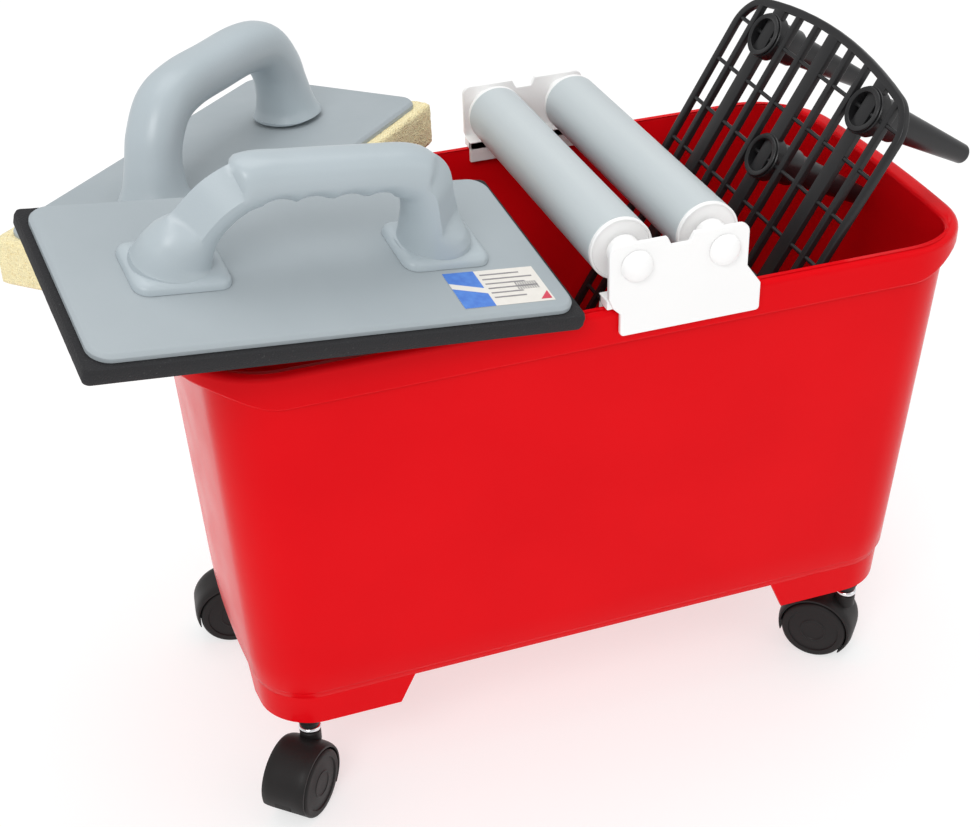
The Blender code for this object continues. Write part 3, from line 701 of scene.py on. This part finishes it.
def bracket_outline(middles, height):
    """The outer plate in (x, z): a flange over the rim, and a head with a saddle between rollers."""
    left, right = middles[0] - HEAD_LEFT, middles[1] + HEAD_RIGHT
    top = height + HEAD_TOP
    middle = sum(middles) / 2
    low = height - FLANGE_LOW
    return [
        *arc((left + 10.5, low + 2.5), 2.5, 180, 270, 4),
        *arc((right + 7.5, low + 2.5), 2.5, 270, 360, 4),
        (right + 10, height - 28.8), (right, height - 14.8),
        *arc((right - 6, top - 6), 6.0, 0, 90, 6),
        (middle + 9, top), (middle + 6, top - 6), (middle - 6, top - 6), (middle - 9, top),
        *arc((left + 6, top - 6), 6.0, 90, 180, 6),
        (left, height - 20.8), (left + 3, height - 27.8), (left + 8, height - 32.8)]


def prism(builder, points, low, high):
    """An outline of (x, z) points between y = low and y = high."""
    skin(builder, [[(x, y, z) for x, z in points] for y in (low, high)])


def make_bracket(end, sign, middles, height):
    builder = bmesh.new()
    left, right = middles[0] - HEAD_LEFT, middles[1] + HEAD_RIGHT
    prism(builder, bracket_outline(middles, height), *PLATE_Y)
    for low, high, reach in ((BRIDGE_Z[0] + GAP, BRIDGE_Z[1], PLATE_Y[0] + 0.5),
                             (HOOK_LOW_Z, BRIDGE_Z[1] - 0.2, HOOK_Y[1])):
        prism(builder, rectangle(left, right, low, high), HOOK_Y[0], reach)
    if sign < 0:
        bmesh.ops.scale(builder, vec=(1, -1, 1), verts=builder.verts)
    turn = TO_Y if sign > 0 else TO_MINUS_Y
    piece(f"wringer_plate_{end}", builder, "white", "wringer", BUCKET,
          [f"wringer_bracket_{end}"], sharp=35.0, bevel=0.7)
    for number, x in enumerate(middles):
        boss = bmesh.new()
        spin(boss, [(7.3, CAP_FACE + 1.2), (10.6, CAP_FACE + 1.2), (11.0, CAP_FACE + 1.6),
                    (11.0, PLATE_Y[0] + 0.4)], 40, turn)
        spot = BUCKET @ Matrix.Translation((x * MM, 0, height * MM))
        piece(f"wringer_boss_{end}_{number}", boss, "white", "wringer", spot)


def make_roller(label, x, height):
    """A drawn tube between two caps with a thin lip, on domed pins."""
    spot = BUCKET @ Matrix.Translation((x * MM, 0, height * MM))
    body = f"roller_{label}"
    builder = bmesh.new()
    edge = 0.5
    spin(builder, [(18.5, -TUBE_HALF), (ROLLER_RADIUS - edge, -TUBE_HALF),
                   (ROLLER_RADIUS, edge - TUBE_HALF), (ROLLER_RADIUS, TUBE_HALF - edge),
                   (ROLLER_RADIUS - edge, TUBE_HALF), (18.5, TUBE_HALF)], 96)
    piece(f"roller_{label}_sleeve", builder, "tube", body, spot @ TO_Y, [f"roller_{label}_tube"])
    flange = TUBE_HALF + GAP
    for end, turn in (("front", TO_MINUS_Y), ("back", TO_Y)):
        builder = bmesh.new()
        spin(builder, [(18.2, 101), (18.2, flange), (ROLLER_RADIUS - 0.4, flange),
                       (ROLLER_RADIUS, flange + 0.4), (ROLLER_RADIUS, CAP_FACE - 0.5),
                       (ROLLER_RADIUS - 0.5, CAP_FACE), (ROLLER_RADIUS - 1.3, CAP_FACE),
                       (ROLLER_RADIUS - 2.0, CAP_FACE - 1.2), (7.4, CAP_FACE - 1.2),
                       (7.4, CAP_FACE - 6)], 96)
        piece(f"roller_{label}_lid_{end}", builder, "white", body, spot @ turn,
              [f"roller_{label}_cap_{end}"])
        dome_low = PLATE_Y[1] + GAP
        dome = [(DOME_RADIUS * cos(radians(a)), dome_low + 0.6 + 5.9 * sin(radians(a)))
                for a in range(0, 90, 9)]
        builder = bmesh.new()
        spin(builder, [(0, 102), (7.0, 102), (7.0, dome_low), (DOME_RADIUS - 0.4, dome_low)] + dome
             + [(0, dome_low + 6.5)], 64)
        piece(f"roller_{label}_dome_{end}", builder, "white", body, spot @ turn,
              [f"roller_{label}_pin_{end}"], sharp=50.0)


def make_wringer():
    middles = []
    for label in ("left", "right"):
        tube = BUCKET.inverted() @ box_middle(f"roller_{label}_tube")
        middles.append(tube.x / MM)
        height = tube.z / MM
        make_roller(label, middles[-1], height)
    for end, sign in (("front", -1), ("back", 1)):
        make_bracket(end, sign, middles, height)


# ---------------------------------------------------------------- drain grate

def grate_outline(inset=0.0, steps=12):
    half_length = (ROD_COUNT - 1) * ROD_PITCH / 2 + GRATE_END - GRATE_BOW
    middle = -(ROD_COUNT - 1) * ROD_PITCH / 2
    points = outline(half_length - inset, GRATE_WIDTH / 2 - inset, 22.0 - inset, GRATE_BOW, steps)
    return [(x + middle, y) for x, y in points]


def span_across(points, axis, value):
    """Where a line crosses an outline: the lowest and highest other coordinate."""
    found = []
    for first, second in zip(points, points[1:] + points[:1]):
        if (first[axis] - value) * (second[axis] - value) <= 0 and first[axis] != second[axis]:
            share = (value - first[axis]) / (second[axis] - first[axis])
            found.append(first[1 - axis] + share * (second[1 - axis] - first[1 - axis]))
    return min(found), max(found)


def rounded_section(half_wide, low, high, soft):
    """Corner points (across, z) of a small bar's rounded section."""
    points = []
    for sign_x, level, start in ((1, high, 0), (-1, high, 90), (-1, low, 180), (1, low, 270)):
        centre = (sign_x * (half_wide - soft), level - soft if level == high else level + soft)
        points.extend(arc(centre, soft, start, start + 90, 3))
    return points


def make_grate_panel(place):
    """Frame, slats, cross rods and leg rings of the grate."""
    builder = bmesh.new()
    middle_line = grate_outline(FRAME_WIDTH / 2)
    section = rounded_section(FRAME_WIDTH / 2, -GRATE_THICK, 0.0, 1.2)
    loops = []
    count = len(middle_line)
    for index, (x, y) in enumerate(middle_line):
        before = middle_line[index - 1]
        after = middle_line[(index + 1) % count]
        length = sqrt((after[0] - before[0]) ** 2 + (after[1] - before[1]) ** 2)
        out = ((after[1] - before[1]) / length, -(after[0] - before[0]) / length)
        loops.append([(x + out[0] * w, y + out[1] * w, z) for w, z in section])
    skin(builder, loops, closed=True)
    for column in range(-4, 5):
        wide = SLAT_WIDE if column in (-3, 0, 3) else SLAT_NARROW
        y = column * SLAT_PITCH
        low, high = span_across(middle_line, 1, y)
        section = rounded_section(wide / 2, -GRATE_THICK, -0.1, 0.7)
        skin(builder, [[(x, y + w, z) for w, z in section] for x in (low, high)])
    for row in range(ROD_COUNT):
        x = -row * ROD_PITCH
        low, high = span_across(middle_line, 0, x)
        ring = arc((0, -2.2), ROD_RADIUS, 0, 342, 19)
        skin(builder, [[(x + a, y, z) for a, z in ring] for y in (low, high)])
    for row, column in LEG_SPOTS.values():
        inner, outer = LEG_MOUTH + GAP, LEG_MOUTH + 3.0
        spot = Matrix.Translation((-row * ROD_PITCH, column * SLAT_PITCH, 0))
        spin(builder, [(inner, -GRATE_THICK - 3), (outer - 0.6, -GRATE_THICK - 3),
                       (outer, -GRATE_THICK - 2.4), (outer, RING_HIGH - 0.6),
                       (outer - 0.6, RING_HIGH), (inner, RING_HIGH)], 48, spot)
    piece("grate_lattice", builder, "black", "grate", place, ["grate_panel"], sharp=40.0)


def make_leg(label, row, column, place):
    """A hollow leg: a straight neck, a collar, then a long taper to a closed round tip."""
    rest = RING_HIGH + GAP
    tip = -LEG_LENGTH
    neck = -GRATE_THICK - 24.0
    rounded_tip = arc((LEG_TIP - 2.4, tip + 2.4), 2.4, 270, 360, 6)
    profile = [(0, tip)] + rounded_tip + [
        (LEG_MOUTH - 2.2, neck - 1.6), (LEG_MOUTH - 0.4, neck), (LEG_MOUTH, neck + 1.0),
        (LEG_MOUTH, rest), (LEG_MOUTH + 1.6, rest), (LEG_MOUTH + 2.0, rest + 0.4),
        (LEG_MOUTH + 2.0, rest + 1.1), (LEG_MOUTH + 1.5, rest + LIP_THICK),
        (LEG_MOUTH - 1.2, rest + LIP_THICK),
        (LEG_MOUTH - 1.7, rest + 1.2), (LEG_MOUTH - 2.2, neck), (LEG_TIP - 2.0, tip + 4.0),
        (0, tip + 4.0)]
    builder = bmesh.new()
    spin(builder, profile, 56)
    spot = place @ Matrix.Translation((-row * ROD_PITCH * MM, column * SLAT_PITCH * MM, 0))
    piece(f"grate_cone_{label}", builder, "black", "grate", spot, [f"grate_leg_{label}"], sharp=40.0)


def make_grate():
    place = grate_frame()
    make_grate_panel(place)
    for label, (row, column) in LEG_SPOTS.items():
        make_leg(label, row, column, place)


# ---------------------------------------------------------------- floats

def smooth_path(points, steps):
    """Points of a smooth curve through the given (x, z, across, depth) stations."""
    ends = [points[0]] + points + [points[-1]]
    found = []
    for index in range(1, len(ends) - 2):
        a, b, c, d = ends[index - 1:index + 3]
        for step in range(steps):
            t = step / steps
            found.append(tuple(
                0.5 * (2 * q + (r - p) * t + (2 * p - 5 * q + 4 * r - s) * t * t
                       + (3 * q - p - 3 * r + s) * t ** 3)
                for p, q, r, s in zip(a, b, c, d)))
    found.append(points[-1])
    return found


def grooves(x, z_side, first, last, count, depth):
    """How far the underside is hollowed at x by a row of finger grooves."""
    if z_side > 0 or not first < x < last:
        return 0.0
    phase = (x - first) / (last - first) * count
    return depth * abs(sin(pi * phase)) ** 0.8 * min(1.0, -z_side * 1.6)


def swept_handle(builder, stations, steps, sides, squareness, groove=None, facet=None):
    """A rounded section swept along stations of (x, z, half across, half depth)."""
    path = smooth_path(stations, steps)
    loops = []
    last = len(path) - 1
    for index, (x, z, across, depth) in enumerate(path):
        before, after = path[max(0, index - 1)], path[min(last, index + 1)]
        length = sqrt((after[0] - before[0]) ** 2 + (after[1] - before[1]) ** 2)
        side = (-(after[1] - before[1]) / length, (after[0] - before[0]) / length)
        if index in (0, last):
            side = (-1.0, 0.0) if index == 0 else (1.0, 0.0)
        loop = []
        for step in range(sides):
            angle = 2 * pi * step / sides
            c, s = cos(angle), sin(angle)
            up = (abs(c) ** squareness) * (1 if c > 0 else -1)
            y = across * (abs(s) ** squareness) * (1 if s > 0 else -1)
            reach = depth * up
            if groove:
                reach += grooves(x, up if z > 45 else 1, *groove)
            if facet:
                y, reach = facet(x, y, reach, across, depth)
            loop.append((x + side[0] * reach, y, z + side[1] * reach))
        loops.append(loop)
    skin(builder, loops)


def flat_cheeks(x, y, reach, across, depth):
    """Thumb facets: the handle's upper outside corners are planed off at both bends."""
    for start, stop in ((-80.0, -50.0), (56.0, 78.0)):
        if start < x < stop:
            fade = min(1.0, (x - start) / 5.0, (stop - x) / 3.0)
            limit = 1.12 - 0.22 * fade
            share = abs(y) / across + max(0.0, reach) / depth
            if reach > 0 and share > limit + 0.1:
                shrink = (limit + 0.1) / share
                return y * (1 - fade * (1 - shrink)), reach * (1 - fade * (1 - shrink))
    return y, reach


def make_plinth(builder, x, half_x, half_y):
    """The low chamfered pad that a handle's foot stands on."""
    loops = []
    for z, inset in ((0.3, 0.0), (3.2, 0.6), (4.4, 1.6), (5.6, 4.2), (6.2, 6.4)):
        loops.append([(x + a, b, z) for a, b in outline(half_x - inset, half_y - inset, 9.0 - inset,
                                                      steps=8, side_steps=2)])
    skin(builder, loops)


def make_plate(label, size, place):
    """A flat plate with a bevelled upper edge, which catches a fine bright line of light."""
    builder = bmesh.new()
    half_x, half_y = size[0] / 2, size[1] / 2
    loops = []
    edge = ((-PLATE_THICK, 0.0), (-2.4, 0.0), (-2.0, 0.3), (-0.5, 1.5), (-0.15, 2.0), (0.0, 2.8))
    for z, inset in edge:
        loops.append(at_height(outline(half_x - inset, half_y - inset, 13.0 - inset, side_steps=6), z))
    skin(builder, loops)
    piece(f"{label}_board", builder, "plate", f"{label}_float", place, [f"{label}_float_plate"],
          sharp=28.0)


def make_front_handle(place):
    builder = bmesh.new()
    stations = [
        (-84.0, 5.0, 21.0, 25.5), (-82.5, 13.0, 18.0, 21.5), (-75.0, 30.0, 15.4, 16.5),
        (-63.0, 47.0, 15.4, 16.0), (-47.0, 57.0, 15.2, 15.5), (-25.0, 58.8, 14.6, 14.6),
        (0.0, 59.0, 14.6, 14.6), (28.0, 59.0, 14.8, 14.6), (50.0, 57.5, 15.4, 15.6),
        (64.0, 50.0, 16.2, 16.6), (71.5, 33.0, 17.0, 16.8), (77.0, 15.0, 19.0, 20.0),
        (80.0, 5.0, 21.0, 24.0)]
    swept_handle(builder, stations, 9, 48, 0.86, FINGER_GROOVES, flat_cheeks)
    for x in (-FRONT_FOOT_X, FRONT_FOOT_X):
        make_plinth(builder, x, *PLINTH_HALF)
    piece("front_grip", builder, "handle", "front_float", place, ["front_float_handle"], sharp=38.0)


def make_rear_handle(place):
    builder = bmesh.new()
    half = [(80.0, 4.0, 24.0, 24.0), (79.0, 13.0, 20.5, 20.0), (76.5, 28.0, 18.2, 17.6),
            (71.0, 44.0, 18.0, 17.2), (57.0, 60.0, 18.0, 17.4), (34.0, 66.0, 17.4, 16.8)]
    left = [(-x, z, across, depth) for x, z, across, depth in half]
    stations = left + [(0.0, 66.4, 17.0, 16.6)] + list(reversed(half))
    swept_handle(builder, stations, 8, 44, 0.9)
    piece("rear_grip", builder, "handle", "rear_float", place, ["rear_float_handle"], sharp=38.0)


def soft_slab(half_x, half_y, radius, low, high, soft, cell):
    """A slab meshed in fine cells on every side, for a surface that is roughened afterwards."""
    builder = bmesh.new()
    levels = max(2, round((high - low) / cell))
    base = outline(half_x, half_y, radius, steps=10, side_steps=round(2 * half_x / cell / 2))
    loops = []
    for step in range(levels + 1):
        share = step / levels
        z = low + (high - low) * share
        from_edge = min(z - low, high - z)
        inset = soft * (1 - min(1.0, from_edge / soft)) ** 2 if soft else 0.0
        loops.append([(x * (1 - inset / half_x), y * (1 - inset / half_y), z) for x, y in base])
    rings = skin(builder, loops, caps=False)
    for ring, z in ((rings[0], low), (rings[-1], high)):
        previous = ring
        for ratio in (0.985, 0.95, 0.8, 0.5):
            fresh = [builder.verts.new((v.co.x * ratio, v.co.y * ratio, z)) for v in ring]
            count = len(ring)
            for i in range(count):
                j = (i + 1) % count
                builder.faces.new((previous[i], previous[j], fresh[j], fresh[i]))
            previous = fresh
        builder.faces.new(previous)
    return builder


def roughen(builder, size, depth, seed):
    """Pushes each point in or out a little by smooth noise, so that cut foam isn't dead flat."""
    offset = Vector((seed, seed * 2, seed * 3))
    builder.normal_update()
    for vertex in builder.verts:
        push = noise.noise(vertex.co / size + offset) + 0.5 * noise.noise(vertex.co / size * 3 + offset)
        vertex.co += vertex.normal * depth * push


def make_soft_parts(front, rear):
    top = -PLATE_THICK - GAP
    builder = soft_slab(FRONT_PLATE[0] / 2 + PAD_PROUD, FRONT_PLATE[1] / 2 + PAD_PROUD, 4.0,
                        top - PAD_THICK, top, 0.8, 2.5)
    roughen(builder, 7.0, 0.18, 1.0)
    pad = piece("front_rubber", builder, "foam", "front_float", front, ["front_float_rubber_pad"],
                sharp=60.0)
    builder = soft_slab(REAR_PLATE[0] / 2 + SPONGE_PROUD, REAR_PLATE[1] / 2 + SPONGE_PROUD, 4.0,
                        top - SPONGE_THICK, top, 1.6, 2.0)
    roughen(builder, 5.0, 0.55, 4.0)
    sponge = piece("rear_sponge_block", builder, "sponge", "rear_float", rear,
                   ["rear_float_sponge"], sharp=80.0)


def sheet_patch(name, look, corners, z, place, thick=0.12):
    """A thin printed patch on the plate, from its corner points."""
    builder = bmesh.new()
    skin(builder, [[(x, y, level) for x, y in corners] for level in (z - thick, z)])
    return piece(name, builder, look, "front_float", place)


def make_label(place):
    """A plain price-label shape: a blue end, pale paper, and rows of grey bars in place of print."""
    left, right = LABEL_X
    low, high = LABEL_Y
    split = left + LABEL_BLUE
    z = LABEL_TOP
    sheet_patch("label_paper", "paper", rectangle(left, right, low, high), z, place)
    sheet_patch("label_blue", "ink_blue", rectangle(left, split, low, high), z + 0.1, place)
    sheet_patch("label_band", "paper", [(left, high - 15), (split, high - 22), (split, high - 17),
                                        (left, high - 10)], z + 0.2, place)
    sheet_patch("label_mark", "ink_red", [(right - 9, low + 2), (right - 1.5, low + 2),
                                          (right - 1.5, low + 9.5)], z + 0.2, place)
    for row in range(6):
        y = high - 5.0 - 4.4 * row
        length = 34.0 if row % 2 else 27.0
        if row > 3:
            length = 22.0
        sheet_patch(f"label_line_{row}", "ink_grey",
                    rectangle(split + 2.5, split + 2.5 + length, y, y + 1.0), z + 0.2, place)
    for bar in range(9):
        x = right - 19.0 + 1.7 * bar
        sheet_patch(f"label_bar_{bar}", "ink_grey",
                    rectangle(x, x + 0.7, low + 13.0, low + 20.0), z + 0.2, place)


def make_floats():
    front, rear = float_frame("front"), float_frame("rear")
    make_plate("front", FRONT_PLATE, front)
    make_plate("rear", REAR_PLATE, rear)
    make_front_handle(front)
    make_rear_handle(rear)
    make_soft_parts(front, rear)
    make_label(front)


# ---------------------------------------------------------------- studio

def finish_hidden_nodes():
    """The small steel pieces inside keep their CAD shape with a plated finish."""
    for name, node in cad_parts.items():
        if "screw" in name or "axle" in name:
            for slot in node.material_slots:
                slot.material = LOOKS["steel"]


def make_floor():
    mesh = bpy.data.meshes.new("floor")
    reach = 9.0
    mesh.from_pydata([(-reach, -reach, 0), (reach, -reach, 0), (reach, reach, 0), (-reach, reach, 0)],
                     [], [(0, 1, 2, 3)])
    made, shader = shader_material("floor_paper", (0.45, 0.45, 0.45), 0.95)
    shader.inputs["Specular IOR Level"].default_value = 0.0
    shader.inputs["Emission Color"].default_value = (1, 1, 1, 1)
    shader.inputs["Emission Strength"].default_value = 0.60
    mesh.materials.append(made)
    floor = bpy.data.objects.new("floor", mesh)
    bpy.context.scene.collection.objects.link(floor)


def area_light(name, place, target, size, power):
    light = bpy.data.lights.new(name, "AREA")
    light.shape = "RECTANGLE"
    light.size, light.size_y = size
    light.energy = power
    made = bpy.data.objects.new(name, light)
    bpy.context.scene.collection.objects.link(made)
    made.location = place
    made.rotation_euler = (Vector(target) - Vector(place)).to_track_quat("-Z", "Y").to_euler()


def make_lights():
    world = bpy.data.worlds.new("studio")
    bpy.context.scene.world = world
    world.use_nodes = True
    background = world.node_tree.nodes["Background"]
    background.inputs["Color"].default_value = (1, 1, 1, 1)
    background.inputs["Strength"].default_value = 0.68
    rim_height = (0, 0, 0.3)
    area_light("key", (-1.4, -1.9, 2.3), rim_height, (1.3, 1.0), 28)
    area_light("fill", (2.2, -1.6, 1.6), rim_height, (1.6, 1.6), 5)
    area_light("top", (0.2, 0.4, 3.0), (0, 0, 0.2), (2.4, 2.0), 26)
    bpy.context.scene.view_settings.view_transform = "Standard"


def aim_camera():
    camera = bpy.data.cameras.new("camera")
    camera.sensor_width = 36.0
    camera.lens = CAMERA_LENS
    yaw, pitch, roll = radians(CAMERA_YAW), radians(CAMERA_PITCH), radians(CAMERA_ROLL)
    ahead = Vector((sin(yaw) * cos(pitch), cos(yaw) * cos(pitch), -sin(pitch)))
    level = Vector((cos(yaw), -sin(yaw), 0))
    over = level.cross(ahead)
    right = level * cos(roll) + over * sin(roll)
    up = over * cos(roll) - level * sin(roll)
    made = bpy.data.objects.new("camera", camera)
    bpy.context.scene.collection.objects.link(made)
    made.matrix_world = axes_matrix(BUCKET @ (Vector(CAMERA_PLACE) * MM), right, up, -ahead)
    bpy.context.scene.camera = made


aim_camera()
make_lights()
make_floor()
make_bucket()
make_feet()
make_casters()
make_wringer()
make_grate()
make_floats()
finish_hidden_nodes()

bpy.context.view_layer.update()
